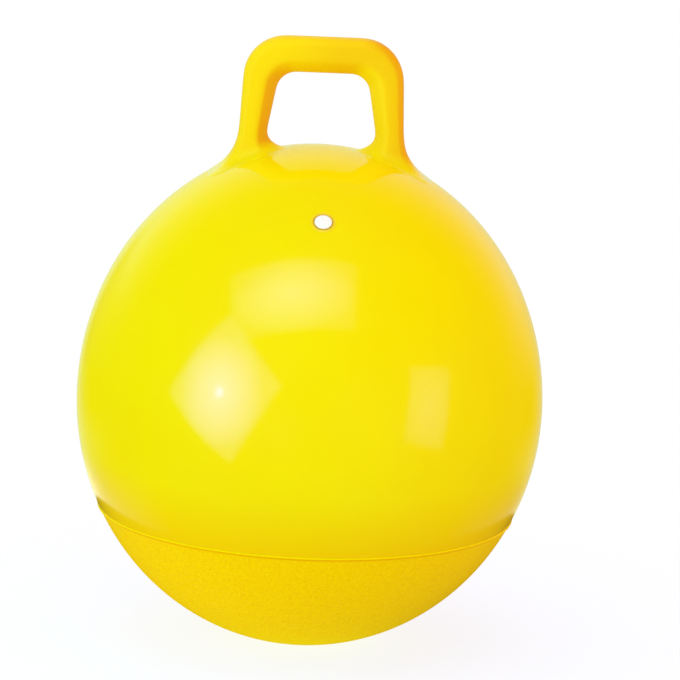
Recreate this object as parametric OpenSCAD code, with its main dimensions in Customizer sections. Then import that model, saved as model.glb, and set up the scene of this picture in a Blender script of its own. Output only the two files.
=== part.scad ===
// Hopper ball: an inflated vinyl ball with a moulded D handle, a textured grip base and a valve plug.
// Millimetres, +Z up. The origin is at the middle of the patch it stands on.
// The handle's bar runs along X, and the valve faces the front, -Y.

/* [Ball] */
// Width of the ball at its widest level
ball_width = 450; // [380:5:540]
// Height of the ball's top above its widest level
ball_rise = 247.6; // [215:0.2:290]
// Depth of the round bottom below the widest level, before it flattens where it stands
ball_drop = 238.4; // [205:0.2:280]
// Width of the flat patch that the ball's weight presses on the ground
rest_width = 56; // [36:1:80]
// Thickness of the ball's vinyl
wall = 1.4; // [1:0.1:2.4]

/* [Grip base] */
// Depth of the seam below the widest level
seam_drop = 107.4; // [85:0.2:130]
// Width of the bead that runs round the seam
bead_width = 2.4; // [1.6:0.1:4]

/* [Handle] */
// Height of the handle's top above the ball's top
handle_rise = 104.6; // [88:0.2:122]
// Thickness of the bar from top to underside
bar_thickness = 34; // [26:0.5:38]
// Width over the handle's shoulders
shoulder_width = 153; // [142:0.5:168]
// Width over the legs where the feet begin to flare
leg_span = 157.2; // [150:0.2:172]
// Width of the opening under the bar
opening_top_width = 89.6; // [80:0.2:98]
// Width of the opening where the feet begin to flare
opening_foot_width = 103.8; // [98:0.2:110]
// Thickness of the bar and legs from front to back
handle_depth = 30; // [24:0.5:38]
// Radius of the outer corners
outer_corner = 40; // [32:0.5:44]
// Radius of the opening's top corners
inner_corner = 19; // [12:0.5:25]
// Thickness of the handle's vinyl
handle_wall = 2.4; // [1.8:0.1:4]
// Squareness of the bar's section: 2 is an oval, more is squarer
squareness = 2.6; // [2:0.1:4]

/* [Handle feet] */
// Height above the ball's top at which the feet begin to flare
foot_rise = 14; // [8:0.5:20]
// Distance of the middle of each foot from the ball's axis
foot_reach = 73; // [68:0.5:80]
// Length of each foot along the bar's direction
foot_length = 72; // [62:0.5:82]
// Length of each foot from front to back
foot_depth = 62; // [50:0.5:74]

/* [Valve] */
// Depth of the valve below the ball's top
valve_drop = 50.6; // [34:0.2:76]
// Width of the soft bush that is bonded into the ball
seat_width = 24; // [22:0.2:30]
// Thickness of the bush's plate
seat_plate = 3.4; // [3:0.1:5]
// Depth of the recess that holds the plug's head
recess_depth = 1.4; // [1:0.1:2]
// Width of the bush's neck inside the ball
neck_width = 14.4; // [13.6:0.1:17]
// Length of the bush's neck below its plate
neck_length = 11; // [8:0.5:16]

/* [Plug] */
// Width of the plug's head
head_width = 16.4; // [15:0.1:18]
// Thickness of the head at its rim
head_rim = 1.5; // [1:0.1:2.5]
// Height of the head's dome above its rim
head_dome = 0.9; // [0.4:0.1:1.8]
// Width of the stem under the head
stem_width = 10; // [8:0.1:11]
// Width of the stem at its tip
tip_width = 8.6; // [6.6:0.1:9.4]
// Length of the stem
stem_length = 13; // [9:0.5:18]

/* [Fits] */
// Gap round the stem in its bore
stem_clearance = 0.08; // [0.04:0.01:0.2]
// Gap under the head, above the bottom of its recess
head_clearance = 0.3; // [0.2:0.05:0.5]
// Gap round the head in its recess
recess_clearance = 0.7; // [0.5:0.05:1]

/* [Hidden] */
$fn = 96;
// How far a cut runs past what it cuts
overrun = 1;

ball_radius = ball_width / 2;
rest_radius = rest_width / 2;
// Height of the widest level above the ground
widest_z = ball_drop * sqrt(1 - pow(rest_radius / ball_radius, 2));
ball_top_z = widest_z + ball_rise;

// Steps of the ball's profile, in degrees of its half ellipse
profile_step = 3;
bead_radius = bead_width / 2;
bead_steps = 8;

// A point of the ball's profile, [radius, height], at an angle from the widest level;
// inset moves it in from the outside by a thickness
function profile_point(angle, inset = 0) = [
    (ball_radius - inset) * cos(angle),
    widest_z + ((angle < 0 ? ball_drop : ball_rise) - inset) * sin(angle)
];

// The angle at which the profile passes a height above or below the widest level
function profile_angle(height, inset = 0) =
    asin(height / ((height < 0 ? ball_drop : ball_rise) - inset));

// Profile points from one angle to another, ends included
function profile_arc(from, to, inset = 0) =
    let (steps = ceil(abs(to - from) / profile_step))
    [for (i = [0 : steps]) profile_point(from + (to - from) * i / steps, inset)];

// Height of the ball's surface over a point of the plan
function skin_z(x, y, inset = 0) =
    widest_z + (ball_rise - inset) * sqrt(1 - (x * x + y * y) / pow(ball_radius - inset, 2));

seam_angle = profile_angle(-seam_drop);
seam_inner_angle = profile_angle(-seam_drop, wall);
rest_angle = -acos(rest_radius / ball_radius);
rest_inner_angle = profile_angle(wall - widest_z, wall);

// The bead is centred on the ball's outside, one radius of arc below the seam
seam_arc_per_degree = norm([ball_radius * sin(seam_angle), ball_drop * cos(seam_angle)]) * PI / 180;
bead_angle = seam_angle - bead_radius / seam_arc_per_degree;
bead_low_angle = bead_angle - bead_radius / seam_arc_per_degree;
bead_centre = profile_point(bead_angle);
// Direction of the outward normal at the bead, from the level
bead_tilt = atan2(sin(bead_angle) / ball_drop, cos(bead_angle) / ball_radius);

module upper_shell() {
    color("yellow")
    difference() {
        rotate_extrude()
        polygon(concat(
            profile_arc(seam_angle, 90),
            profile_arc(90, seam_inner_angle, wall)
        ));
        for (side = [-1, 1]) foot_port(side);
        at_valve()
        translate([0, 0, -seat_plate - overrun])
        cylinder(d = seat_width, h = seat_plate + 2 * overrun);
    }
}

module grip_base() {
    color("gold")
    rotate_extrude()
    polygon(concat(
        [profile_point(seam_angle)],
        [for (i = [1 : bead_steps - 1])
            bead_centre + bead_radius * [
                cos(bead_tilt + 90 - 180 * i / bead_steps),
                sin(bead_tilt + 90 - 180 * i / bead_steps)
            ]],
        profile_arc(bead_low_angle, rest_angle),
        [[0, 0], [0, wall]],
        profile_arc(rest_inner_angle, seam_inner_angle, wall)
    ));
}

// Heights of the handle, above the ground
handle_top_z = ball_top_z + handle_rise;
bar_low_z = handle_top_z - bar_thickness;
flare_z = ball_top_z + foot_rise;

// Counts of the handle's mesh: points round a ring, and rings along each stretch of half the loop
ring_sides = 32;
flare_rings = 7;
leg_rings = 3;
corner_rings = 9;
bar_rings = 3;

// Directions of the leg's outer and inner sides, as lean from the upright
outer_corner_z = handle_top_z - outer_corner;
inner_corner_z = bar_low_z - inner_corner;
outer_lean = atan2(leg_span - shoulder_width, 2 * (outer_corner_z - flare_z));
inner_lean = atan2(opening_foot_width - opening_top_width, 2 * (inner_corner_z - flare_z));

// Points [x, z] of the handle's outer and inner outlines on its +X half, at a share of a stretch
function outer_corner_point(turn) = [
    shoulder_width / 2 - outer_corner + outer_corner * cos(turn),
    outer_corner_z + outer_corner * sin(turn)
];
function inner_corner_point(turn) = [
    opening_top_width / 2 - inner_corner + inner_corner * cos(turn),
    inner_corner_z + inner_corner * sin(turn)
];
function between(a, b, share) = a + (b - a) * share;

outer_foot = [leg_span / 2, flare_z];
inner_foot = [opening_foot_width / 2, flare_z];

// Pairs [outer point, inner point] from the flare up the leg, round the corner and to the bar's middle
half_pairs = concat(
    [for (i = [0 : leg_rings - 1])
        [between(outer_foot, outer_corner_point(outer_lean), i / leg_rings),
         between(inner_foot, inner_corner_point(inner_lean), i / leg_rings)]],
    [for (i = [0 : corner_rings - 1])
        [outer_corner_point(between(outer_lean, 90, i / corner_rings)),
         inner_corner_point(between(inner_lean, 90, i / corner_rings))]],
    [for (i = [0 : bar_rings])
        [[outer_corner_point(90)[0] * (1 - i / bar_rings), handle_top_z],
         [inner_corner_point(90)[0] * (1 - i / bar_rings), bar_low_z]]]
);

// A coordinate of a squared oval of half-width 1
function squared(value) = sign(value) * pow(abs(value), 2 / squareness);

// Points of the ring that spans a pair, drawn in by an inset
function ring(pair, inset) =
    let (centre = (pair[0] + pair[1]) / 2,
         across = pair[0] - pair[1],
         direction = across / norm(across),
         half = norm(across) / 2 - inset,
         half_depth = handle_depth / 2 - inset)
    [for (i = [0 : ring_sides - 1])
        let (angle = 360 * i / ring_sides,
             u = half * squared(cos(angle)))
        [centre[0] + u * direction[0], half_depth * squared(sin(angle)), centre[1] + u * direction[1]]];

// Plan outline of a foot where it meets the ball
function foot_outline(side) = [for (i = [0 : ring_sides - 1])
    let (angle = 360 * i / ring_sides)
    [side * (foot_reach + foot_length / 2 * cos(angle)), foot_depth / 2 * sin(angle)]];

function unit(v) = v / norm(v);
// Outward normal of the ball at a point of its upper half
function skin_normal(p, inset) = unit([
    p[0] / pow(ball_radius - inset, 2),
    p[1] / pow(ball_radius - inset, 2),
    (p[2] - widest_z) / pow(ball_rise - inset, 2)
]);
function bezier(a, b, c, d, t) =
    a * pow(1 - t, 3) + b * 3 * t * pow(1 - t, 2) + c * 3 * t * t * (1 - t) + d * pow(t, 3);

// How far the flare runs on along the leg and along the ball, as shares of its chord
leg_pull_share = 0.36;
skin_pull_share = 0.42;

// Rings of the +X foot from the ball's surface up to, but without, the first ring of the leg
function foot_rings(inset, skin_inset) =
    let (top = ring(half_pairs[0], inset),
         above = ring(half_pairs[1], inset),
         plan = foot_outline(1))
    [for (k = [0 : flare_rings - 1])
        [for (i = [0 : ring_sides - 1])
            let (land = [plan[i][0], plan[i][1], skin_z(plan[i][0], plan[i][1], skin_inset)],
                 chord = norm(top[i] - land),
                 normal = skin_normal(land, skin_inset),
                 rise = top[i] - land,
                 along_skin = unit(rise - normal * (rise * normal)),
                 along_leg = unit(top[i] - above[i]))
            bezier(land, land + along_skin * chord * skin_pull_share,
                top[i] + along_leg * chord * leg_pull_share, top[i], k / flare_rings)]];

// All rings of one skin of the loop, from the +X foot over the bar to the -X foot
function mirrored(points) = [for (p = points) [-p[0], p[1], p[2]]];
function loop_rings(inset, skin_inset) =
    let (half = concat(foot_rings(inset, skin_inset), [for (pair = half_pairs) ring(pair, inset)]),
         last = len(half) - 1)
    concat(half, [for (k = [1 : last]) mirrored(half[last - k])]);

module handle() {
    outer = loop_rings(0, 0);
    inner = loop_rings(handle_wall, wall);
    count = len(outer);
    points = [for (skin = [outer, inner], one_ring = skin, p = one_ring) p];
    // Neighbouring rings of the outer skin, then of the inner one, then the rims of the two feet
    ring_pairs = concat(
        [for (k = [0 : count - 2]) [k, k + 1]],
        [for (k = [0 : count - 2]) [count + k + 1, count + k]],
        [[count, 0], [count - 1, 2 * count - 1]]
    );
    faces = [for (pair = ring_pairs, i = [0 : ring_sides - 1], half = [0, 1])
        strip_face(pair[0], pair[1], i, half)];
    color("gold")
    polyhedron(points = points, faces = faces, convexity = 6);
}

// Index of point i of a ring
function at_ring(ring_number, i) = ring_number * ring_sides + i % ring_sides;
// One of the two triangles between point i of two rings and the next point
function strip_face(a, b, i, half) = half == 0
    ? [at_ring(a, i), at_ring(b, i), at_ring(b, i + 1)]
    : [at_ring(a, i), at_ring(b, i + 1), at_ring(a, i + 1)];

// The port in the ball that a foot fills, over the whole upper half
module foot_port(side) {
    translate([0, 0, widest_z])
    linear_extrude(height = ball_rise + overrun)
    polygon(foot_outline(side));
}

// Place and direction of the valve: local +Z is the ball's outward normal there
valve_angle = profile_angle(ball_rise - valve_drop);
valve_point = profile_point(valve_angle);
valve_elevation = atan2(sin(valve_angle) / ball_rise, cos(valve_angle) / ball_radius);
module at_valve() {
    translate([0, -valve_point[0], valve_point[1]])
    rotate([90 - valve_elevation, 0, 0])
    children();
}

// Heights along the valve's axis, from the ball's outside
recess_floor = -recess_depth;
head_low = recess_floor + head_clearance;
neck_low = -seat_plate - neck_length;
// The bore keeps its clearance all along the tapered stem
stem_taper = (stem_width - tip_width) / stem_length;
function stem_width_at(depth_below_head) = stem_width - stem_taper * depth_below_head;
bore_top = recess_floor + overrun;
bore_low = neck_low - overrun;

module valve_bush() {
    color("khaki")
    at_valve()
    difference() {
        union() {
            translate([0, 0, -seat_plate])
            cylinder(d = seat_width, h = seat_plate);
            translate([0, 0, neck_low])
            cylinder(d = neck_width, h = neck_length + seat_plate - recess_depth);
        }
        translate([0, 0, recess_floor])
        cylinder(d = head_width + 2 * recess_clearance, h = recess_depth + overrun);
        translate([0, 0, bore_low])
        cylinder(
            d1 = stem_width_at(head_low - bore_low) + 2 * stem_clearance,
            d2 = stem_width_at(head_low - bore_top) + 2 * stem_clearance,
            h = bore_top - bore_low
        );
    }
}

tip_round = tip_width / 8;
dome_steps = 8;
module valve_plug() {
    color("white")
    at_valve()
    translate([0, 0, head_low])
    rotate_extrude()
    polygon(concat(
        [[0, -stem_length],
         [tip_width / 2 - tip_round, -stem_length],
         [stem_width_at(stem_length - tip_round) / 2, tip_round - stem_length],
         [stem_width / 2, 0],
         [head_width / 2, 0]],
        [for (i = [0 : dome_steps])
            [head_width / 2 * cos(90 * i / dome_steps), head_rim + head_dome * sin(90 * i / dome_steps)]]
    ));
}

upper_shell();
grip_base();
handle();
valve_bush();
valve_plug();
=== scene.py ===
"""Hopper ball: an inflated vinyl ball with a moulded D handle, a grained grip base and a valve plug.

It is laid out as an add-on with one operator for each piece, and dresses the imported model. Metres, +Z up;
the bar of the handle runs along X and the valve faces -Y.
"""
import math

import bmesh
import bpy
from bpy.props import FloatProperty, FloatVectorProperty, PointerProperty
from mathutils import Matrix, Vector


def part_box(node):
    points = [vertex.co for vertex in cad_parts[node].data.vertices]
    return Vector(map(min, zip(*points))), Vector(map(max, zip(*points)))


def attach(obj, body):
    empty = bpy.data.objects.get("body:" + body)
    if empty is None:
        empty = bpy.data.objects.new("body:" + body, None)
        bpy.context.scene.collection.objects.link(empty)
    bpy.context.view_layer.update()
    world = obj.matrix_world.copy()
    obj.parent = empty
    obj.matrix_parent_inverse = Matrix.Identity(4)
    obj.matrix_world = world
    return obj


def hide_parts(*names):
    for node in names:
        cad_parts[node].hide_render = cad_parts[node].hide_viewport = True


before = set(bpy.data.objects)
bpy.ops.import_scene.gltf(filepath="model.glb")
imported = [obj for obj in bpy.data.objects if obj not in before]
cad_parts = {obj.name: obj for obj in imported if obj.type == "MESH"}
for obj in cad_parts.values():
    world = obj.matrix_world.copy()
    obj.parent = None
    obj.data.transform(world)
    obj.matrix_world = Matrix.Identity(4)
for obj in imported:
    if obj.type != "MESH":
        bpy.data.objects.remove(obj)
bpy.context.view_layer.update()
SHELL_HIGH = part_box("upper_shell")[1]
HANDLE_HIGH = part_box("handle")[1]

bl_info = {
    "name": "Hopper ball",
    "version": (1, 0, 0),
    "blender": (4, 5, 0),
    "location": "3D View > Sidebar > Hopper ball",
    "description": "Builds a hopper ball with its handle, grip base, valve and studio",
    "category": "Add Mesh",
}

BALL_SEGMENTS, BALL_RINGS = 192, 128
VALVE_SIDES = 96
SAME_PLACE = 1e-6  # metres; points that are nearer are one
ON_FORM = 0.00015  # metres; how far off the form a skin may lie and still take its shading
BEVEL_MIDDLE = 0.3  # share of a rounded edge's size at which its middle point lies
VINYL_IOR = 1.5


def length(name, default, description):
    """A size in metres."""
    return FloatProperty(name=name, description=description, default=default, min=0.0, unit="LENGTH", precision=5)


def colour(name, default, description):
    """A colour of a finish, in linear light."""
    return FloatVectorProperty(name=name, description=description, default=default, size=3, subtype="COLOR",
                               min=0.0, max=1.0)


class BallSizes(bpy.types.PropertyGroup):
    """Sizes of the ball's skin and of its grip base."""
    radius: length("Radius", SHELL_HIGH.x, "Radius of the ball at its widest level")
    widest_z: length("Widest level", 0.236547, "Height of the widest level above the floor")
    rise: length("Rise", 0.2476, "Height of the ball's top above its widest level")
    drop: length("Drop", 0.2384, "Depth of the round bottom below the widest level")
    seam_drop: length("Seam depth", 0.1074, "Depth of the seam below the widest level")
    wall: length("Wall", 0.0014, "Thickness of the ball's vinyl")
    bead: length("Bead", 0.0012, "Radius of the bead round the seam")


class HandleSizes(bpy.types.PropertyGroup):
    """Sizes of the D handle, on its +X half."""
    top_z: length("Top", HANDLE_HIGH.z, "Height of the handle's top above the floor")
    bar: length("Bar", 0.034, "Thickness of the bar from top to underside")
    depth: length("Depth", 0.030, "Thickness of the bar and legs from front to back")
    shoulder: length("Shoulders", 0.0765, "Half the width over the shoulders")
    leg_out: length("Leg outside", 0.0786, "Reach of the leg's outside where the flare begins")
    leg_in: length("Leg inside", 0.0519, "Reach of the leg's inside where the flare begins")
    opening: length("Opening", 0.0448, "Half the width of the opening under the bar")
    outer_corner: length("Outer corner", 0.040, "Radius of the outer corners")
    inner_corner: length("Inner corner", 0.019, "Radius of the opening's top corners")
    flare_z: length("Flare", 0.498147, "Height at which the feet begin to flare")
    foot_out: length("Foot outside", 0.109, "Reach of the outer end of the foot on the ball")
    foot_in: length("Foot inside", 0.028, "Reach of the inner end of the foot on the ball")
    foot_side: length("Foot side", 0.031, "Half the width of the foot from front to back")
    wall: length("Wall", 0.0024, "Thickness of the handle's vinyl")
    lap: length("Lap", 0.003, "How far the ball's skin runs on under the rim of the foot")
    sink: length("Sink", 0.0001, "Depth of the rim of the foot under the ball's skin")


class ValveSizes(bpy.types.PropertyGroup):
    """Sizes of the valve's bush and plug."""
    rise: length("Valve height", 0.197, "Height of the valve above the widest level")
    seat: length("Seat", 0.012, "Radius of the bush's plate")
    plate: length("Plate", 0.0034, "Thickness of the bush's plate")
    recess: length("Recess", 0.0014, "Depth of the recess that holds the plug's head")
    recess_radius: length("Recess radius", 0.0089, "Radius of the recess")
    soft_edge: length("Soft edge", 0.00045, "Size of the rounded edges of the bush")
    neck: length("Neck", 0.0072, "Radius of the bush's neck")
    neck_length: length("Neck length", 0.011, "Length of the neck below the plate")
    bore: length("Bore", 0.00508, "Radius of the bore at the recess")
    bore_tip: length("Bore tip", 0.00438, "Radius of the bore at the neck's lower end")
    head: length("Head", 0.0082, "Radius of the plug's head")
    head_low: length("Head seat", 0.0011, "Depth of the head's underside below the ball's skin")
    head_rim: length("Head rim", 0.0015, "Thickness of the head at its rim")
    head_dome: length("Head dome", 0.0009, "Height of the head's dome")
    head_edge: length("Head edge", 0.0003, "Bevel of the edge of the head's underside")
    stem: length("Stem", 0.005, "Radius of the stem under the head")
    stem_tip: length("Stem tip", 0.0043, "Radius of the stem at its tip")
    stem_length: length("Stem length", 0.013, "Length of the stem")


class Finishes(bpy.types.PropertyGroup):
    """Colours of the vinyl and of the plug."""
    skin: colour("Skin", (0.925, 0.80, 0.0004), "Glossy vinyl of the ball")
    base: colour("Grip base", (0.98, 0.73, 0.0003), "Grained vinyl of the grip base")
    handle: colour("Handle", (0.97, 0.74, 0.0004), "Matte vinyl of the handle")
    bush: colour("Bush", (0.93, 0.75, 0.001), "Soft vinyl of the valve's bush")
    plug: colour("Plug", (0.93, 1.0, 0.98), "White plastic of the plug")


# ---- hand tools

def leave_edit():
    """Goes back to object mode."""
    bpy.ops.object.mode_set(mode="OBJECT")


def deselect():
    """Nothing selected, object mode."""
    if bpy.context.object and bpy.context.object.mode != "OBJECT":
        leave_edit()
    bpy.ops.object.select_all(action="DESELECT")


def choose(piece):
    """Makes a piece the active object and the only one selected."""
    deselect()
    bpy.context.view_layer.objects.active = piece
    piece.select_set(True)


def name_piece(name):
    """Names the object just added, and its mesh."""
    piece = bpy.context.object
    piece.name = piece.data.name = name
    return piece


def apply_place():
    """Applies the place, turn and size of the selected object."""
    bpy.ops.object.transform_apply(location=True, rotation=True, scale=True)


def edit(piece):
    """Goes into edit mode on one piece."""
    choose(piece)
    bpy.ops.object.mode_set(mode="EDIT")


def pick_all():
    """Selects the whole mesh in edit mode."""
    bpy.ops.mesh.select_all(action="SELECT")


def pick(test, kind="VERT"):
    """Selects, in edit mode, the vertices or edges that pass a test, and nothing else."""
    bpy.ops.mesh.select_mode(type=kind)
    bpy.ops.mesh.select_all(action="DESELECT")
    cage = bmesh.from_edit_mesh(bpy.context.object.data)
    found = [thing for thing in (cage.verts if kind == "VERT" else cage.edges) if test(thing)]
    if not found:
        raise RuntimeError(f"nothing to pick on {bpy.context.object.name}")
    for thing in found:
        thing.select_set(True)
    bmesh.update_edit_mesh(bpy.context.object.data)


def pick_rim(test=lambda place: True):
    """Selects, in edit mode, the open edges whose place passes a test."""
    pick(lambda edge: edge.is_boundary and test(edge.verts[0].co), "EDGE")


def extrude(along_x=0.0, along_z=0.0):
    """Extrudes the selection by a step."""
    bpy.ops.mesh.extrude_region_move(TRANSFORM_OT_translate={"value": (along_x, 0, along_z)})


def widen(share):
    """Scales the selection in plan, about the Z axis."""
    bpy.ops.transform.resize(value=(share, share, 1), center_override=(0, 0, 0))


def close_up(merge=0.0):
    """Merges doubles where a distance is given, turns every face outward and leaves edit mode."""
    pick_all()
    if merge:
        bpy.ops.mesh.remove_doubles(threshold=merge)
    bpy.ops.mesh.normals_make_consistent(inside=False)
    leave_edit()


def group_picked(piece, name):
    """Puts the selection, in edit mode, in a new vertex group and leaves edit mode."""
    piece.vertex_groups.active = piece.vertex_groups.new(name=name)
    bpy.context.tool_settings.vertex_group_weight = 1.0
    bpy.ops.object.vertex_group_assign()
    leave_edit()


def shape_up(piece, kind, **settings):
    """Adds a modifier with its settings and applies it."""
    choose(piece)
    modifier = piece.modifiers.new(kind.title(), kind)
    for key, value in settings.items():
        setattr(modifier, key, value)
    bpy.ops.object.modifier_apply(modifier=modifier.name)


def cut(piece, cutter):
    """Cuts a closed cutter out of a piece and removes the cutter."""
    shape_up(piece, "BOOLEAN", operation="DIFFERENCE", object=cutter, solver="EXACT")
    bpy.data.objects.remove(cutter)


def smooth(piece, degrees=35):
    """Smooth shading with sharp edges past an angle."""
    choose(piece)
    bpy.ops.object.shade_smooth_by_angle(angle=math.radians(degrees))


def round_off(piece, form):
    """Takes the form's shading normals where the piece's outside lies on the form, and removes the form."""
    smooth(form, 180)
    shape_up(piece, "DATA_TRANSFER", object=form, use_loop_data=True, data_types_loops={"CUSTOM_NORMAL"},
             loop_mapping="POLYINTERP_NEAREST", use_max_distance=True, max_distance=ON_FORM)
    bpy.data.objects.remove(form)


def settle(piece, material, body, slot, *nodes):
    """Gives a finished piece its material and its body, and hides the CAD nodes it stands for; the slot is not used.
    """
    piece.data.materials.append(material)
    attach(piece, body)
    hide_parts(*nodes)


# ---- the ball's form

def egg(name, sizes):
    """The ball's outside: a sphere whose halves are stretched to their own heights."""
    middle = (0, 0, sizes.widest_z)
    off_middle = sizes.radius * 1e-4
    deselect()
    bpy.ops.mesh.primitive_uv_sphere_add(segments=BALL_SEGMENTS, ring_count=BALL_RINGS, radius=sizes.radius,
                                         location=middle)
    piece = name_piece(name)
    edit(piece)
    for half, height in ((1, sizes.rise), (-1, sizes.drop)):
        pick(lambda vert: vert.co.z * half > off_middle)
        bpy.ops.transform.resize(value=(1, 1, height / sizes.radius), center_override=middle)
    leave_edit()
    apply_place()
    return piece


def skin_z(sizes, x, y=0.0):
    """Height of the ball's upper skin over a point of the plan."""
    return sizes.widest_z + sizes.rise * math.sqrt(1 - (x * x + y * y) / sizes.radius ** 2)


def seam_level(sizes):
    """Height of the seam between the upper skin and the grip base."""
    return sizes.widest_z - sizes.seam_drop


def slice_at(piece, level, keep_above=True):
    """Cuts a piece at a level and clears one side."""
    edit(piece)
    pick_all()
    bpy.ops.mesh.bisect(plane_co=(0, 0, level), plane_no=(0, 0, 1), clear_inner=keep_above,
                        clear_outer=not keep_above, threshold=SAME_PLACE)
    leave_edit()


def valve_frame(ball, valve):
    """Place and direction of the valve: local +Z is the ball's outward normal there."""
    angle = math.asin(valve.rise / ball.rise)
    point = Vector((0, -ball.radius * math.cos(angle), ball.widest_z + valve.rise))
    lift = math.atan2(math.sin(angle) / ball.rise, math.cos(angle) / ball.radius)
    return Matrix.Translation(point) @ Matrix.Rotation(math.pi / 2 - lift, 4, "X")


# ---- node helpers

def node(tree, kind, **values):
    """A node with its properties and input values."""
    made = tree.nodes.new(kind)
    for key, value in values.items():
        if key in made.inputs.keys():
            made.inputs[key].default_value = value
        else:
            setattr(made, key, value)
    return made


def feed(tree, made, *values):
    """Fills a node's first inputs in turn; each value may be a socket or a constant."""
    for socket, value in zip(made.inputs, values):
        if hasattr(value, "links"):
            tree.links.new(value, socket)
        else:
            socket.default_value = value
    return made


def maths(tree, operation, *values):
    """The result of a maths node."""
    return feed(tree, node(tree, "ShaderNodeMath", operation=operation), *values).outputs[0]


def vectors(tree, operation, *values):
    """The result of a vector maths node: a value for a length or a distance, else a vector."""
    made = feed(tree, node(tree, "ShaderNodeVectorMath", operation=operation), *values)
    return made.outputs["Value" if operation in ("LENGTH", "DISTANCE") else "Vector"]


def times(tree, first, *others):
    """The product of values."""
    for other in others:
        first = maths(tree, "MULTIPLY", first, other)
    return first


def add_glow(tree, ground, share, glow):
    """Adds a share of a colour to a ground colour; both may be a socket or a colour."""
    return vectors(tree, "MULTIPLY_ADD", share, glow, ground)


def split(tree, vector):
    """The X, Y and Z of a vector."""
    return tuple(feed(tree, node(tree, "ShaderNodeSeparateXYZ"), vector).outputs)


def ramp(tree, value, low, high, to_low, to_high):
    """Maps a value from one range to another, clamped."""
    made = node(tree, "ShaderNodeMapRange", clamp=True)
    return feed(tree, made, value, low, high, to_low, to_high).outputs["Result"]


def rising(tree, value, low, high):
    """Goes from 0 to 1 over a range."""
    return ramp(tree, value, low, high, 0.0, 1.0)


def falling(tree, value, low, high):
    """Goes from 1 to 0 over a range."""
    return ramp(tree, value, low, high, 1.0, 0.0)


def noise(tree, place, scale, detail):
    """A noise pattern on the piece, with its scale in features per metre."""
    return feed(tree, node(tree, "ShaderNodeTexNoise", Scale=scale, Detail=detail), place).outputs["Fac"]


def mix_colour(tree, share, first, second):
    """A mix of two colours; each may be a socket or a colour."""
    made = node(tree, "ShaderNodeMix", data_type="RGBA")
    tree.links.new(share, made.inputs[0])
    for socket, value in ((made.inputs[6], first), (made.inputs[7], second)):
        if hasattr(value, "links"):
            tree.links.new(value, socket)
        else:
            socket.default_value = (*value, 1)
    return made.outputs[2]


def mix_shader(tree, share, first, second):
    """A mix of two shaders."""
    return feed(tree, node(tree, "ShaderNodeMixShader"), share, first, second).outputs[0]


def emission(tree, shown):
    """A shader that shows a colour as it is."""
    return feed(tree, node(tree, "ShaderNodeEmission"), shown).outputs[0]


def shade(rgb, red=1.0, green=1.0, blue=1.0):
    """A colour with its channels scaled, kept within 1."""
    return tuple(min(1.0, c * k) for c, k in zip(rgb, (red, green, blue)))


def bump(tree, height, distance, strength, normal=None):
    """Bump from a height pattern, over another bump if one is given."""
    made = node(tree, "ShaderNodeBump", Distance=distance, Strength=strength)
    tree.links.new(height, made.inputs["Height"])
    if normal is not None:
        tree.links.new(normal, made.inputs["Normal"])
    return made.outputs["Normal"]


def finish_material(name, base, roughness, **inputs):
    """A new material with a Principled shader; gives the material, its tree, the shader and object coordinates."""
    material = bpy.data.materials.new(name)
    material.use_nodes = True
    tree = material.node_tree
    shader = tree.nodes["Principled BSDF"]
    values = {"Base Color": (*base, 1), "Roughness": roughness, "IOR": VINYL_IOR}
    for key, value in {**values, **inputs}.items():
        shader.inputs[key].default_value = value
    place = tree.nodes.new("ShaderNodeTexCoord")
    return material, tree, shader, place.outputs["Object"]


def wire(tree, shader, **sockets):
    """Links sockets to a shader's inputs; an underscore in a key is a space in the input's name."""
    for key, socket in sockets.items():
        tree.links.new(socket, shader.inputs[key.replace("_", " ")])


# ---- materials

def gloss_vinyl(finishes, ball):
    """The ball's smooth skin: glossy, softly wavy, faintly cloudy, and with painted shade over a band just above the
    seam.
    """
    cloud_scale, wave_scale, haze_scale, peel_scale = 9.0, 28.0, 22.0, 420.0
    clearest, haziest = 0.07, 0.10
    shade_band_height, shade_band_green = 0.06, 0.82
    material, tree, shader, place = finish_material("gloss_vinyl", finishes.skin, roughness=0.16)
    clouds = rising(tree, noise(tree, place, cloud_scale, 3.0), 0.35, 0.65)
    tint = mix_colour(tree, clouds, shade(finishes.skin, green=0.985), shade(finishes.skin, green=1.015))
    seam_z = seam_level(ball)
    # Painted shade: the skin gets darker towards the seam over a band above it.
    painted_shade_band = falling(tree, split(tree, place)[2], seam_z, seam_z + shade_band_height)
    tint = mix_colour(tree, painted_shade_band, tint, shade(finishes.skin, green=shade_band_green))
    haze = ramp(tree, noise(tree, place, haze_scale, 4.0), 0.3, 0.7, clearest, haziest)
    waves = bump(tree, noise(tree, place, wave_scale, 1.0), 0.0003, 0.5)
    peel = bump(tree, noise(tree, place, peel_scale, 1.0), 0.00002, 0.4, waves)
    wire(tree, shader, Base_Color=tint, Roughness=haze, Normal=peel)
    return material


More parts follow.
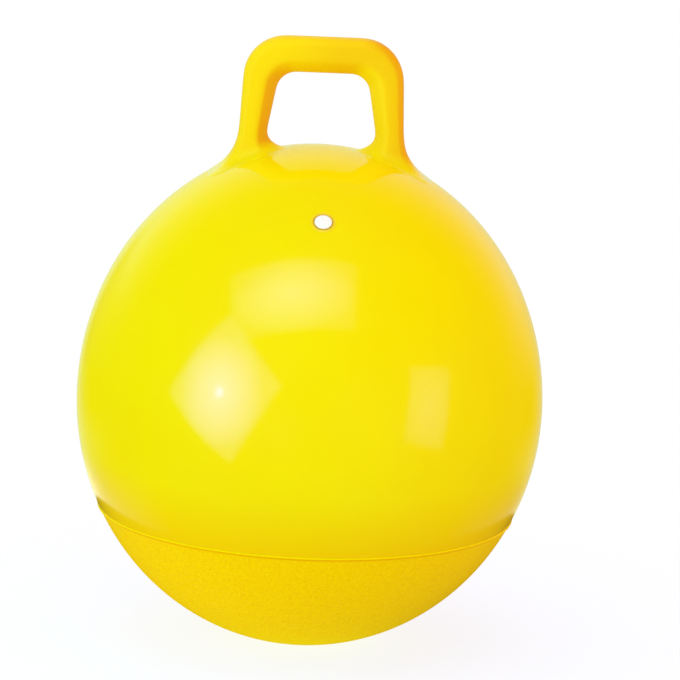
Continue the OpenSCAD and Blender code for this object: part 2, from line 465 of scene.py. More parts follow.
def grained_vinyl(finishes, ball):
    """The grip base: satin, with a fine pebble grain whose hollows have painted shade, below a smooth bead with a
    painted highlight on its top and a painted shade line under it.
    """
    pebble_scale, pebble_height = 420.0, 0.0006
    # Painted shade: the grain's hollows are darker than its crests, following the bump's relief.
    hollow, crest = shade(finishes.base, 0.93, 0.85), shade(finishes.base, 0.99, 0.99)
    painted_shade_line, painted_highlight_line = shade(finishes.base, 0.9, 0.7), shade(finishes.base, 0.98, 1.12)
    material, tree, shader, place = finish_material(
        "grained_vinyl", finishes.base, roughness=0.38,
        **{"Specular IOR Level": 0.02, "Specular Tint": (1.0, 0.8, 0.0, 1)})
    cells = feed(tree, node(tree, "ShaderNodeTexVoronoi", Scale=pebble_scale, feature="SMOOTH_F1"), place)
    pebble = falling(tree, cells.outputs["Distance"], 0.1, 0.75)
    level = split(tree, place)[2]

    def down(beads):
        """The level that lies some bead radii below the seam."""
        return seam_level(ball) - beads * ball.bead

    # Painted shade: a dark line just under the bead.
    shade_under_bead = times(tree, falling(tree, level, down(1.6), down(1.1)), rising(tree, level, down(3.4), down(2.6)))
    tint = mix_colour(tree, pebble, hollow, crest)
    tint = mix_colour(tree, shade_under_bead, tint, painted_shade_line)
    # Painted highlight along the bead's top.
    tint = mix_colour(tree, rising(tree, level, down(1.1), down(0.7)), tint, painted_highlight_line)
    relief = times(tree, pebble, falling(tree, level, down(3.0), down(2.2)))
    wire(tree, shader, Base_Color=tint, Normal=bump(tree, relief, pebble_height, 0.8))
    return material


def height_off_ball(tree, place, ball):
    """How far a point of the handle is off the ball's skin, in metres, from its place alone."""
    farthest = 0.5
    shift = vectors(tree, "SUBTRACT", place, (0, 0, ball.widest_z))
    reach = vectors(tree, "LENGTH", vectors(tree, "DIVIDE", shift, (ball.radius, ball.radius, ball.rise)))
    return ramp(tree, reach, 1.0, 1.0 + farthest, 0.0, farthest * ball.rise)


def matte_vinyl(finishes, ball):
    """The handle: matte with a fine grain, turning into the ball's gloss at the foot, with painted shade where
    the mesh's deep attribute says so."""
    coat_height, blend_low, blend_high = 0.006, 0.001, 0.012
    foot_roughness, leg_roughness = 0.16, 0.52
    grain_scale, full_shade_at = 900.0, 0.45
    material, tree, shader, place = finish_material(
        "matte_vinyl", finishes.handle, roughness=0.5,
        **{"Specular IOR Level": 0.2, "Specular Tint": (1.0, 1.0, 0.3, 1), "Coat Roughness": 0.1})
    away = height_off_ball(tree, place, ball)
    matte = rising(tree, away, blend_low, blend_high)
    # Painted shade from the mesh's attribute: a darker, more orange colour on the sides turned from the light.
    deep = rising(tree, node(tree, "ShaderNodeAttribute", attribute_name="deep").outputs["Fac"], 0.0, full_shade_at)
    tint = mix_colour(tree, deep, finishes.handle, shade(finishes.handle, 0.89, 0.59))
    grain = times(tree, noise(tree, place, grain_scale, 2.0), matte)
    wire(tree, shader, Base_Color=mix_colour(tree, matte, finishes.skin, tint),
         Roughness=ramp(tree, matte, 0.0, 1.0, foot_roughness, leg_roughness),
         Coat_Weight=falling(tree, away, 0.0, coat_height), Normal=bump(tree, grain, 0.00012, 0.6))
    return material


def ringed_finish(name, scene, base, inner, outer, start, end, grain_scale, grain_height, grain_strength):
    """The finish of a part of the valve, whose colour changes between two distances from the recess's wall."""
    material, tree, shader, place = finish_material(name, base, roughness=0.3)
    middle = valve_frame(scene.hopperball_ball, scene.hopperball_valve).translation
    edge = scene.hopperball_valve.recess_radius
    off = rising(tree, vectors(tree, "DISTANCE", place, middle), edge + start, edge + end)
    grain = noise(tree, place, grain_scale, 2.0)
    wire(tree, shader, Base_Color=mix_colour(tree, off, inner, outer),
         Normal=bump(tree, grain, grain_height, grain_strength))
    return material


def soft_vinyl(scene):
    """The bush: soft vinyl with a slight sheen, with painted shade in the recess and at its edge."""
    bush = scene.hopperball_finishes.bush
    # Painted shade: the colour near the recess's wall is darker.
    return ringed_finish("soft_vinyl", scene, bush, inner=shade(bush, 0.84, 0.7), outer=bush, start=0.0, end=0.0022,
                         grain_scale=600.0, grain_height=0.00005, grain_strength=0.5)


def plug_white(scene):
    """The plug: white moulded plastic with a painted yellow reflection at its rim, from the vinyl round it."""
    plug = scene.hopperball_finishes.plug
    # Painted reflection: the head's rim turns yellow as if lit by the vinyl round it.
    return ringed_finish("plug_white", scene, plug, inner=plug, outer=shade(plug, 1.0, 0.82, 0.35), start=-0.0016,
                         end=-0.0002, grain_scale=700.0, grain_height=0.00004, grain_strength=0.4)


# ---- pieces

class HOPPERBALL_OT_handle(bpy.types.Operator):
    """Models the hollow D handle: a section drawn along half the D, flared onto the ball and mirrored."""
    bl_idname = "hopperball.handle"
    bl_label = "Handle"
    section_segments = 6
    inner_round, inner_profile = 0.9, 0.36
    outer_round, outer_profile = 0.55, 0.5
    leg_steps = 4
    corner_steps = 8
    bar_steps = 3
    flare_steps = 7
    flare_crowding = 1.6
    leg_pull = 0.36
    skin_pull = 0.42
    most_bow = 0.004
    mirror_merge, double_merge = 0.0005, 1e-5
    cut_height = 0.06
    # Painted shade: sides that face right or down, and the handle's right half, get a darker colour.
    shade_side = Vector((0.8, 0.0, -0.1))
    deep_from, deep_width, deep_right = -0.045, 0.06, 0.2

    def corner(self, sizes, turn, outer):
        """A point [x, z] of the outer or inner outline's corner at a turn from the level."""
        radius = sizes.outer_corner if outer else sizes.inner_corner
        reach = (sizes.shoulder if outer else sizes.opening) - radius
        top = sizes.top_z - radius if outer else sizes.top_z - sizes.bar - radius
        return Vector((reach + radius * math.cos(turn), top + radius * math.sin(turn)))

    def stations(self, sizes, ball):
        """Pairs of outer and inner points with the section's depth, from the bar's middle to the foot."""
        outer_foot, inner_foot = Vector((sizes.leg_out, sizes.flare_z)), Vector((sizes.leg_in, sizes.flare_z))
        outer_lean = math.atan2(sizes.leg_out - sizes.shoulder, sizes.top_z - sizes.outer_corner - sizes.flare_z)
        inner_lean = math.atan2(sizes.leg_in - sizes.opening,
                                sizes.top_z - sizes.bar - sizes.inner_corner - sizes.flare_z)
        quarter = math.pi / 2
        found = []
        for i in range(self.bar_steps):
            share = i / self.bar_steps
            found.append((Vector((self.corner(sizes, quarter, True).x * share, sizes.top_z)),
                          Vector((self.corner(sizes, quarter, False).x * share, sizes.top_z - sizes.bar)),
                          sizes.depth))
        for i in range(self.corner_steps):
            share = i / self.corner_steps
            found.append((self.corner(sizes, quarter + (outer_lean - quarter) * share, True),
                          self.corner(sizes, quarter + (inner_lean - quarter) * share, False), sizes.depth))
        for i in range(self.leg_steps + 1):
            share = i / self.leg_steps
            found.append((self.corner(sizes, outer_lean, True).lerp(outer_foot, share),
                          self.corner(sizes, inner_lean, False).lerp(inner_foot, share), sizes.depth))
        above = found[-2]
        side_foot = Vector((sizes.depth / 2, sizes.flare_z))
        side_above = side_foot + Vector((0, sizes.depth))
        side_z = skin_z(ball, (sizes.foot_out + sizes.foot_in) / 2, sizes.foot_side)
        for i in range(1, self.flare_steps + 1):
            share = 1 - (1 - i / self.flare_steps) ** self.flare_crowding
            outer = self.flare(ball, above[0], outer_foot, sizes.foot_out, skin_z(ball, sizes.foot_out), share)
            inner = self.flare(ball, above[1], inner_foot, sizes.foot_in, skin_z(ball, sizes.foot_in), share)
            side = self.flare(ball, side_above, side_foot, sizes.foot_side, side_z, share)
            found.append((outer, inner, 2 * side.x))
        return found

    def flare(self, ball, above, top, reach, land_z, share):
        """A point of the flare's curve from the leg to where it lands on the ball, at a share of its length."""
        land = Vector((reach, land_z))
        normal = Vector((land.x / ball.radius ** 2, (land.y - ball.widest_z) / ball.rise ** 2)).normalized()
        rise = top - land
        along_skin = (rise - normal * rise.dot(normal)).normalized()
        along_leg = (top - above).normalized()
        near_skin = land + along_skin * rise.length * self.skin_pull
        near_leg = top + along_leg * rise.length * self.leg_pull
        t = 1 - share
        return (land * (1 - t) ** 3 + near_skin * 3 * t * (1 - t) ** 2 + near_leg * 3 * t * t * (1 - t)
                + top * t ** 3)

    def section(self, station):
        """Starts the handle with the outline of its section across the bar's middle."""
        outer, inner, depth = station
        centre, across = (outer + inner) / 2, outer - inner
        at = (centre.x, 0, centre.y)
        at_end = 0.49 * across.length
        deselect()
        bpy.ops.mesh.primitive_plane_add(size=1, location=at)
        piece = name_piece("handle_skin")
        apply_place()
        edit(piece)
        pick_all()
        bpy.ops.transform.resize(value=(across.length, depth, 1), center_override=at)
        for side, share, profile in ((-1, self.inner_round, self.inner_profile),
                                     (1, self.outer_round, self.outer_profile)):
            pick(lambda vert: (vert.co.x - centre.x) * side > at_end)
            bpy.ops.mesh.bevel(offset=share * depth / 2, offset_type="OFFSET", profile=profile,
                               segments=self.section_segments, affect="VERTICES")
        pick_all()
        bpy.ops.mesh.delete(type="ONLY_FACE")
        pick_all()
        bpy.ops.transform.rotate(value=math.atan2(across.y, across.x), orient_axis="Y", center_override=at)
        return piece

    def sweep(self, stations):
        """Draws the section, ring by ring, through the stations."""
        for (outer, inner, depth), (new_outer, new_inner, new_depth) in zip(stations, stations[1:]):
            across, new_across = outer - inner, new_outer - new_inner
            new_centre = (new_outer + new_inner) / 2
            step = new_centre - (outer + inner) / 2
            at = (new_centre.x, 0, new_centre.y)
            extrude(step.x, step.y)
            bpy.ops.transform.rotate(value=-math.atan2(across.y, across.x), orient_axis="Y", center_override=at)
            bpy.ops.transform.resize(value=(new_across.length / across.length, new_depth / depth, 1),
                                     center_override=at)
            bpy.ops.transform.rotate(value=math.atan2(new_across.y, new_across.x), orient_axis="Y",
                                     center_override=at)

    def execute(self, context):
        sizes, ball = context.scene.hopperball_handle, context.scene.hopperball_ball
        stations = self.stations(sizes, ball)
        piece = self.section(stations[0])
        self.sweep(stations)
        group_picked(piece, "foot")
        self.bow(piece, stations, ball)
        ground = egg("ball_form", ball)
        onto_ground = {"target": ground, "wrap_method": "NEAREST_SURFACEPOINT"}
        shape_up(piece, "SHRINKWRAP", vertex_group="foot", **onto_ground)
        shape_up(piece, "MIRROR", use_axis=(True, False, False), use_clip=True, merge_threshold=self.mirror_merge)
        edit(piece)
        close_up(merge=self.double_merge)
        shape_up(piece, "SUBSURF", levels=2, render_levels=2)
        edit(piece)
        pick_rim()
        group_picked(piece, "rim")
        shape_up(piece, "SHRINKWRAP", vertex_group="rim", wrap_mode="ABOVE_SURFACE", offset=-sizes.sink,
                 **onto_ground)
        self.keep_rims(piece, sizes.lap)
        shape_up(piece, "SOLIDIFY", thickness=sizes.wall, offset=-1, use_even_offset=True)
        smooth(piece)
        round_off(piece, ground)
        # Stores per vertex how much painted shade the material gives.
        deep = piece.data.attributes.new("deep", "FLOAT", "POINT")
        for vert in piece.data.vertices:
            deep.data[vert.index].value = self.painted_shade_at(vert)
        settle(piece, matte_vinyl(context.scene.hopperball_finishes, ball), "ball", "matte_vinyl", "handle")
        return {"FINISHED"}

    def painted_shade_at(self, vert):
        """How much painted shade a vertex gets: more where it faces right or down and on the handle's right half."""
        aside = min(1.0, max(0.0, (vert.co.x - self.deep_from) / self.deep_width))
        return max(0.0, vert.normal.dot(self.shade_side) + self.deep_right * aside)

    def bow(self, piece, rings, ball):
        """Bows the flare's flat rings, so that their sides come down onto the round ball as gently as their ends."""
        group = piece.vertex_groups.new(name="bow")
        count = len(piece.data.vertices) // len(rings)
        for ring in range(len(rings) - self.flare_steps, len(rings)):
            outer, inner, depth = rings[ring]
            middle, half = (outer + inner) / 2, (outer - inner) / 2
            ends = (outer.y - skin_z(ball, outer.x) + inner.y - skin_z(ball, inner.x)) / 2
            lift = ends - middle.y + skin_z(ball, middle.x, depth / 2)
            for vert in piece.data.vertices[ring * count:(ring + 1) * count]:
                across = (Vector((vert.co.x, vert.co.z)) - middle).dot(half) / half.length_squared
                group.add([vert.index], max(0, lift / self.most_bow * (1 - across * across)), "REPLACE")
        shape_up(piece, "DISPLACE", direction="Z", mid_level=0, strength=self.most_bow, vertex_group="bow")

    def keep_rims(self, piece, lap):
        """Copies the open rims of the two feet and draws them into prisms, to cut the ports with."""
        edit(piece)
        pick_rim()
        bpy.ops.mesh.duplicate()
        bpy.ops.mesh.separate(type="SELECTED")
        leave_edit()
        cutter = next(o for o in bpy.context.selected_objects if o is not piece)
        cutter.name = "port_cutter"
        edit(cutter)
        pick_all()
        bpy.ops.transform.translate(value=(0, 0, -self.cut_height / 2))
        extrude(along_z=self.cut_height)
        pick_rim()
        bpy.ops.mesh.edge_face_add()
        pick_all()
        bpy.ops.mesh.normals_make_consistent(inside=False)
        bpy.ops.transform.shrink_fatten(value=-lap)
        leave_edit()


class HOPPERBALL_OT_upper_skin(bpy.types.Operator):
    """Models the ball's glossy skin above the seam, with the ports of the feet and the valve's hole."""
    bl_idname = "hopperball.upper_skin"
    bl_label = "Upper skin"
    cut_depth = 0.02

    def execute(self, context):
        ball, valve = context.scene.hopperball_ball, context.scene.hopperball_valve
        piece = egg("ball_skin", ball)
        slice_at(piece, seam_level(ball))
        shape_up(piece, "SOLIDIFY", thickness=ball.wall, offset=-1)
        self.square_rim(piece, ball)
        cut(piece, bpy.data.objects["port_cutter"])
        cut(piece, self.valve_cutter(ball, valve))
        smooth(piece)
        round_off(piece, egg("ball_form", ball))
        settle(piece, gloss_vinyl(context.scene.hopperball_finishes, ball), "ball", "gloss_vinyl", "upper_shell")
        return {"FINISHED"}

    def square_rim(self, piece, ball):
        """Brings the rim of the seam back to one level."""
        edit(piece)
        pick(lambda vert: vert.co.z < seam_level(ball) + ball.wall * 0.8)
        bpy.ops.transform.resize(value=(1, 1, 0), center_override=(0, 0, seam_level(ball)))
        leave_edit()

    def valve_cutter(self, ball, valve):
        """A cylinder on the valve's axis, as wide as the bush's plate."""
        deselect()
        bpy.ops.mesh.primitive_cylinder_add(vertices=VALVE_SIDES, radius=valve.seat, depth=self.cut_depth,
                                            location=(0, 0, 0))
        piece = name_piece("valve_cutter")
        piece.matrix_world = valve_frame(ball, valve)
        apply_place()
        return piece


class HOPPERBALL_OT_grip_base(bpy.types.Operator):
    """Models the grained bowl below the seam, with its bead and the patch it stands on."""
    bl_idname = "hopperball.grip_base"
    bl_label = "Grip base"
    patch_rings = (0.9, 0.5)
    bead_steps = 10

    def execute(self, context):
        ball = context.scene.hopperball_ball
        angle = math.asin(-ball.seam_drop / ball.drop)
        arc = math.hypot(ball.radius * math.sin(angle), ball.drop * math.cos(angle))
        middle, low = angle - ball.bead / arc, angle - 2 * ball.bead / arc
        seam, bead, foot = (Vector((ball.radius * math.cos(turn), ball.widest_z + ball.drop * math.sin(turn)))
                            for turn in (angle, middle, low))
        tilt = math.atan2(math.sin(middle) / ball.drop, math.cos(middle) / ball.radius)
        outline = [foot]
        for i in range(1, self.bead_steps):
            turn = tilt - math.pi / 2 + math.pi * i / self.bead_steps
            outline.append(bead + ball.bead * Vector((math.cos(turn), math.sin(turn))))
        outline.append(Vector((seam.x, seam_level(ball))))
        piece = egg("grip_base_skin", ball)
        slice_at(piece, foot.y, keep_above=False)
        slice_at(piece, 0)
        edit(piece)
        pick_rim(lambda place: place.z < ball.wall)
        for share in self.patch_rings:
            extrude()
            widen(share)
        bpy.ops.mesh.edge_face_add()
        pick_rim(lambda place: place.z > ball.wall)
        for before, point in zip(outline, outline[1:]):
            extrude(along_z=point.y - before.y)
            widen(point.x / before.x)
        close_up()
        shape_up(piece, "SOLIDIFY", thickness=ball.wall, offset=-1)
        smooth(piece, 50)
        settle(piece, grained_vinyl(context.scene.hopperball_finishes, ball), "ball", "grained_vinyl", "grip_base")
        return {"FINISHED"}


def turned(name, outline):
    """A round piece on the Z axis whose outline of [radius, height] points is extruded ring by ring; it is left
    in edit mode, open at both ends of the outline."""
    radius, height = outline[0]
    deselect()
    bpy.ops.mesh.primitive_circle_add(vertices=VALVE_SIDES, radius=radius, location=(0, 0, 0))
    piece = name_piece(name)
    edit(piece)
    pick_all()
    bpy.ops.transform.translate(value=(0, 0, height))
    for new_radius, new_height in outline[1:]:
        extrude(along_z=new_height - height)
        widen(new_radius / radius)
        radius, height = new_radius, new_height
    return piece


def seat(piece, ball, valve):
    """Moves a part of the valve from the origin to its place on the ball and smooths it."""
    piece.matrix_world = valve_frame(ball, valve)
    apply_place()
    smooth(piece, 40)


class HOPPERBALL_OT_valve_bush(bpy.types.Operator):
    """Models the soft bush: a plate with a recess for the plug's head, and a neck with a tapered bore."""
    bl_idname = "hopperball.valve_bush"
    bl_label = "Valve bush"

    def execute(self, context):
        ball, valve = context.scene.hopperball_ball, context.scene.hopperball_valve
        low = -valve.plate - valve.neck_length
        edge = valve.soft_edge
        part = edge * BEVEL_MIDDLE
        outline = [
            (valve.seat, -valve.plate + edge), (valve.seat, -edge), (valve.seat - part, -part),
            (valve.seat - edge, 0), (valve.recess_radius + edge, 0), (valve.recess_radius + part, -part),
            (valve.recess_radius, -edge), (valve.recess_radius, -valve.recess),
            (valve.bore + edge, -valve.recess), (valve.bore, -valve.recess - edge),
            (valve.bore_tip, low + edge), (valve.bore_tip + edge, low),
            (valve.neck - edge, low), (valve.neck, low + edge), (valve.neck, -valve.plate),
            (valve.seat - edge, -valve.plate), (valve.seat, -valve.plate + edge),
        ]
        piece = turned("valve_bush_ring", outline)
        close_up(merge=SAME_PLACE)
        seat(piece, ball, valve)
        settle(piece, soft_vinyl(context.scene), "ball", "soft_vinyl", "valve_bush")
        return {"FINISHED"}


class HOPPERBALL_OT_valve_plug(bpy.types.Operator):
    """Models the white plug: a domed head and a tapered stem."""
    bl_idname = "hopperball.valve_plug"
    bl_label = "Valve plug"
    dome_steps = 8

    def execute(self, context):
        ball, valve = context.scene.hopperball_ball, context.scene.hopperball_valve
        base = -valve.head_low
        low = base - valve.stem_length
        tip = valve.stem_tip / 4
        part = tip * BEVEL_MIDDLE
        outline = [(tip, low), (valve.stem_tip - tip, low), (valve.stem_tip - part, low + part),
                   (valve.stem_tip, low + tip), (valve.stem, base), (valve.head - valve.head_edge, base),
                   (valve.head, base + valve.head_edge)]
        for i in range(self.dome_steps):
            turn = math.pi / 2 * i / self.dome_steps
            outline.append((valve.head * math.cos(turn), base + valve.head_rim + valve.head_dome * math.sin(turn)))
        piece = turned("valve_plug_body", outline)
        pick_rim(lambda place: place.z > 0)
        bpy.ops.mesh.edge_face_add()
        bpy.ops.mesh.poke()
        pick_rim(lambda place: place.z < 0)
        bpy.ops.mesh.edge_face_add()
        close_up()
        seat(piece, ball, valve)
        settle(piece, plug_white(context.scene), "plug", "plug_white", "valve_plug")
        return {"FINISHED"}


# ---- studio

class HOPPERBALL_OT_studio(bpy.types.Operator):
    """Sets up the pale floor, the soft lamps, the surroundings and the camera."""
    bl_idname = "hopperball.studio"
    bl_label = "Studio"
    # The floor, to the camera and to the matte shading; then what the gloss mirrors of it.
    floor_sides, floor_radius, floor_steady, floor_gone = 96, 0.8, 0.22, 0.6
    floor_seen, floor_matte = (1.0, 1.07, 1.17), (0.9, 0.9, 0.9, 1)
    floor_under, floor_left, floor_right = (1.2, 1.42, 0.6), (1.2, 1.1, 0.6), (0.56, 0.46, 0.6)
    dark_middle, dark_reach = (0.01, 0.156, 0), (0.36, 0.434, 1)
    dark, warm_floor, bright_floor = (0.14, 0.09, 0.02), (0.35, 0.32, 0.0), (0.8, 0.9, 1.0)
    # The softboxes: shares of the face, the level they aim at, and how much further away their lights stand.
    soft_border, border_share, bulb_reach = 0.07, 0.3, 0.06
    aim_z, further = 0.2365, 0.05
    # The surroundings: the fill and what each side adds to it; then what the gloss mirrors.
    fill = (0.91, 0.39, 0.4)
    from_left, from_right = (0.05, 0.53, 0.52), (0.22, 0.53, 0.51)
    from_front, from_behind = (0.01, 0.41, 0.4), (0.07, 0.42, 0.4)
    from_upper_right, from_above = (-0.04, -0.66, -0.62), (0.34, 0.68, 0.6)
    mirrored_dim, mirrored_behind, mirrored_front = (0.02, 0.018, 0.01), (0.6, 0.55, 0.0), (0.55, 0.45, 0.0)
    sheen_left, sheen_right = (0.38, 0.72, 1.0), (0.22, 0.3, 1.0)

    def execute(self, context):
        self.floor()
        self.lamps()
        self.surroundings(context.scene)
        self.camera(context.scene)
        context.scene.view_settings.view_transform = "Standard"
        return {"FINISHED"}

    def floor(self):
        """A round pale floor with the ball's soft shadow, which fades out into the white surroundings. Other rays
        than the camera's meet tints that light the ball from below as the photo does."""
        deselect()
        bpy.ops.mesh.primitive_circle_add(vertices=self.floor_sides, radius=self.floor_radius, fill_type="NGON",
                                          location=(0, 0, 0))
        piece = name_piece("floor")
        material = bpy.data.materials.new("pale_floor")
        material.use_nodes = True
        tree = material.node_tree
        tree.nodes.clear()
        place = tree.nodes.new("ShaderNodeTexCoord").outputs["Object"]
        path = node(tree, "ShaderNodeLightPath")
        seen = path.outputs["Is Camera Ray"]
        distance = vectors(tree, "LENGTH", place)
        aside = rising(tree, split(tree, place)[0], -0.25, 0.25)
        tint = mix_colour(tree, aside, self.floor_left, self.floor_right)
        tint = mix_colour(tree, falling(tree, distance, 0.04, 0.18), tint, self.floor_under)
        pale = emission(tree, mix_colour(tree, seen, tint, self.floor_seen))
        matte = node(tree, "ShaderNodeBsdfDiffuse", Color=self.floor_matte).outputs[0]
        clear = node(tree, "ShaderNodeBsdfTransparent").outputs[0]
        lifted = mix_shader(tree, ramp(tree, seen, 0.0, 1.0, 0.85, 0.72), matte, pale)
        faded = mix_shader(tree, falling(tree, distance, self.floor_steady, self.floor_gone), clear, lifted)
        mirrored = mix_shader(tree, rising(tree, distance, 0.5, 0.75), self.mirrored_floor(tree, place), clear)
        out = node(tree, "ShaderNodeOutputMaterial")
        tree.links.new(mix_shader(tree, path.outputs["Is Glossy Ray"], faded, mirrored), out.inputs["Surface"])
        piece.data.materials.append(material)

    def mirrored_floor(self, tree, place):
        """What the gloss mirrors of the floor: the dark round of the ball's shadow, with a glow behind it."""
        shift = vectors(tree, "SUBTRACT", place, self.dark_middle)
        lit = rising(tree, vectors(tree, "LENGTH", vectors(tree, "DIVIDE", shift, self.dark_reach)), 0.98, 1.02)
        x, y = split(tree, place)[:2]
        aside = maths(tree, "ABSOLUTE", x)
        near = falling(tree, aside, 0.34, 0.62)
        sides = rising(tree, aside, 0.12, 0.3)
        glow = times(tree, near, near, lit, rising(tree, y, -0.15, 0.3), sides, ramp(tree, x, -0.1, 0.1, 0.9, 0.45))
        warm = times(tree, lit, sides, rising(tree, y, 0.0, 0.45))
        shown = add_glow(tree, self.dark, warm, self.warm_floor)
        return emission(tree, add_glow(tree, shown, glow, self.bright_floor))

    def bright_middle(self, data, edge, reach, spot, bulb):
        """Makes a softbox's face bright round a spot with the bulb's core, dimmer by a share towards its edge, and
        soft at its border."""
        data.use_nodes = True
        tree = data.node_tree
        shine = next(n for n in tree.nodes if n.bl_idname == "ShaderNodeEmission")
        face = tree.nodes.new("ShaderNodeNewGeometry").outputs["Parametric"]
        off = vectors(tree, "DISTANCE", face, (*spot, 0))
        core = ramp(tree, off, 0.0, self.bulb_reach, bulb, 0.0)
        glow = maths(tree, "ADD", ramp(tree, off, 0.0, reach, 1.0, edge), core)
        for along in split(tree, face)[:2]:
            for start, end in ((0.0, self.soft_border), (1.0, 1.0 - self.soft_border)):
                glow = times(tree, glow, ramp(tree, along, start, end, self.border_share, 1.0))
        tree.links.new(glow, shine.inputs["Strength"])

    def lamp(self, name, place, size, roll, radiance, tint):
        """A rectangular softbox that faces the ball; its strength is the brightness of its face."""
        data = bpy.data.lights.new(name, "AREA")
        data.shape = "RECTANGLE"
        data.size, data.size_y = size
        data.energy = radiance * math.pi * size[0] * size[1]
        data.color = tint
        lamp = bpy.data.objects.new(name, data)
        bpy.context.scene.collection.objects.link(lamp)
        turn = (Vector((0, 0, self.aim_z)) - Vector(place)).to_track_quat("-Z", "Y").to_matrix().to_4x4()
        lamp.matrix_world = Matrix.Translation(place) @ turn @ Matrix.Rotation(math.radians(roll), 4, "Z")
        lamp.visible_camera = False
        return lamp

    def face(self, name, place, size, roll, radiance, tint, edge, reach, spot=(0.5, 0.5), bulb=0.0):
        """A softbox's face that only the gloss mirrors."""
        lamp = self.lamp(name, place, size, roll, radiance, tint)
        self.bright_middle(lamp.data, edge, reach, spot, bulb)
        lamp.visible_diffuse = False

    def light(self, name, place, size, radiance, tint):
        """A light for the matte shading alone, a little further away than the face in front of it."""
        away = Vector(place) - (Vector((0, 0, self.aim_z)) - Vector(place)) * self.further
        self.lamp(name, away, size, 0, radiance, tint).visible_glossy = False

    def lamps(self):
        """Three softboxes: faces that the gloss mirrors, and lights for the matte shading; and a low reflector."""
        left, top, right = (-1.085, -1.152, 0.473), (-0.311, -1.062, 1.552), (1.552, -1.092, 0.337)
        low_left = (-0.9, -1.35, 0.12)
        blue, cyan = (0.3, 0.45, 1), (0.35, 1, 1)
        self.face("left_softbox_face", left, (1.22, 1.22), roll=56, radiance=10.5, tint=(0.26, 0.22, 1), edge=0.16,
                  reach=0.5, spot=(0.46, 0.5), bulb=1.4)
        self.light("top_softbox", top, (2.1, 1.05), radiance=0.72, tint=cyan)
        self.face("top_softbox_face", top, (1.85, 1.0), roll=14, radiance=4.4, tint=blue, edge=0.16, reach=0.5)
        self.light("right_softbox", right, (0.7, 1.0), radiance=0.8, tint=cyan)
        self.face("right_softbox_face", right, (0.75, 0.95), roll=-12, radiance=1.75, tint=blue, edge=0.35,
                  reach=0.6)
        self.light("low_reflector", low_left, (1.7, 0.5), radiance=0.75, tint=(0.4, 1, 0.8))

    def surroundings(self, scene):
        """White to the camera; to the gloss dim, with a bright wall behind the ball; and a soft fill that goes
        from lemon on the left to amber on the upper right for the rest."""
        world = bpy.data.worlds.new("surroundings")
        scene.world = world
        world.use_nodes = True
        tree = world.node_tree
        path = node(tree, "ShaderNodeLightPath")
        x, y, z = split(tree, node(tree, "ShaderNodeTexCoord").outputs["Generated"])
        upper_right = times(tree, rising(tree, x, 0.15, 0.7), rising(tree, z, 0.15, 0.5))
        fill = self.fill
        for side, glow in ((falling(tree, x, -1, 0), self.from_left), (rising(tree, x, 0, 1), self.from_right),
                           (falling(tree, y, -1, 0), self.from_front), (rising(tree, y, 0, 1), self.from_behind),
                           (upper_right, self.from_upper_right), (rising(tree, z, 0.75, 1.0), self.from_above)):
            fill = add_glow(tree, fill, side, glow)
        # The wall is narrower just below the horizon, and dark at the horizon's left end.
        wall, horizon = ramp(tree, y, 0.3, 0.85, 0.0, 0.75), ramp(tree, y, 0.7, 1.0, 0.0, 0.75)
        off_level = maths(tree, "MAXIMUM", rising(tree, z, -0.12, 0.1), falling(tree, z, -0.42, -0.2))
        wall = mix_colour(tree, off_level, times(tree, horizon, horizon), times(tree, wall, wall))
        level = ramp(tree, maths(tree, "ABSOLUTE", z), 0.1, 0.22, 0.75, 0.0)
        wall = mix_colour(tree, times(tree, level, falling(tree, x, -0.42, -0.28)), wall, (0, 0, 0))
        mirrored = add_glow(tree, self.mirrored_dim, rising(tree, y, 0.2, 0.8), self.mirrored_behind)
        mirrored = add_glow(tree, mirrored, falling(tree, y, -0.9, -0.3), self.mirrored_front)
        sheen = mix_colour(tree, rising(tree, x, -0.3, 0.3), self.sheen_left, self.sheen_right)
        mirrored = add_glow(tree, mirrored, wall, sheen)
        shown = mix_colour(tree, path.outputs["Is Glossy Ray"], fill, mirrored)
        direct = maths(tree, "MAXIMUM", path.outputs["Is Camera Ray"], path.outputs["Is Transmission Ray"])
        tree.links.new(mix_colour(tree, direct, shown, (1, 1, 1)), tree.nodes["Background"].inputs["Color"])

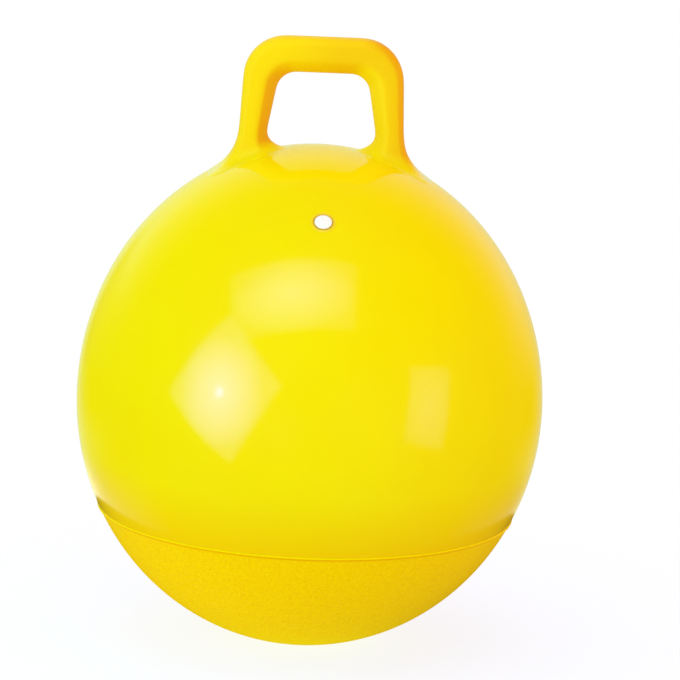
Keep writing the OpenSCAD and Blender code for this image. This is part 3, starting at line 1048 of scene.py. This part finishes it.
    def camera(self, scene):
        """The photograph's view: 4 m away and 12 degrees above the ball, rolled 2.5 degrees."""
        frame_width, sensor = 680, 36.0
        target = Vector((0, 0, scene.hopperball_ball.widest_z))
        eye = Vector((-0.1605, -3.9968, 1.0865))
        pixel, picture_x, picture_y = 0.0009675, 309.6, 399.2
        roll = math.radians(2.5)
        forward = (target - eye).normalized()
        right = forward.cross(Vector((0, 0, 1))).normalized()
        up = right.cross(forward)
        across = right * math.cos(roll) + up * math.sin(roll)
        upward = up * math.cos(roll) - right * math.sin(roll)
        focus = (target - eye).length / pixel
        axis = (forward * focus + across * (frame_width / 2 - picture_x)
                + upward * (picture_y - frame_width / 2)).normalized()
        side = axis.cross(upward).normalized()
        data = bpy.data.cameras.new("camera")
        data.sensor_width = sensor
        data.lens = focus / frame_width * sensor
        data.clip_start, data.clip_end = 0.1, 50
        camera = bpy.data.objects.new("camera", data)
        scene.collection.objects.link(camera)
        turn = Matrix((side, side.cross(axis), -axis)).transposed().to_4x4()
        camera.matrix_world = Matrix.Translation(eye) @ turn
        scene.camera = camera


class HOPPERBALL_PT_panel(bpy.types.Panel):
    """Lists the pieces and the studio."""
    bl_idname = "HOPPERBALL_PT_panel"
    bl_label = "Hopper ball"
    bl_space_type = "VIEW_3D"
    bl_region_type = "UI"
    bl_category = "Hopper ball"

    def draw(self, context):
        for step in STEPS:
            self.layout.operator(step.bl_idname)


STEPS = (HOPPERBALL_OT_handle, HOPPERBALL_OT_upper_skin, HOPPERBALL_OT_grip_base, HOPPERBALL_OT_valve_bush,
         HOPPERBALL_OT_valve_plug, HOPPERBALL_OT_studio)
GROUPS = {"ball": BallSizes, "handle": HandleSizes, "valve": ValveSizes, "finishes": Finishes}


def register():
    for group in GROUPS.values():
        bpy.utils.register_class(group)
    for name, group in GROUPS.items():
        setattr(bpy.types.Scene, "hopperball_" + name, PointerProperty(type=group))
    for step in (*STEPS, HOPPERBALL_PT_panel):
        bpy.utils.register_class(step)


def unregister():
    for step in (HOPPERBALL_PT_panel, *reversed(STEPS)):
        bpy.utils.unregister_class(step)
    for name, group in reversed(GROUPS.items()):
        delattr(bpy.types.Scene, "hopperball_" + name)
        bpy.utils.unregister_class(group)


def main():
    """Builds every piece and the studio."""
    register()
    for step in STEPS:
        group, name = step.bl_idname.split(".")
        getattr(getattr(bpy.ops, group), name)()


if __name__ == "__main__":
    main()
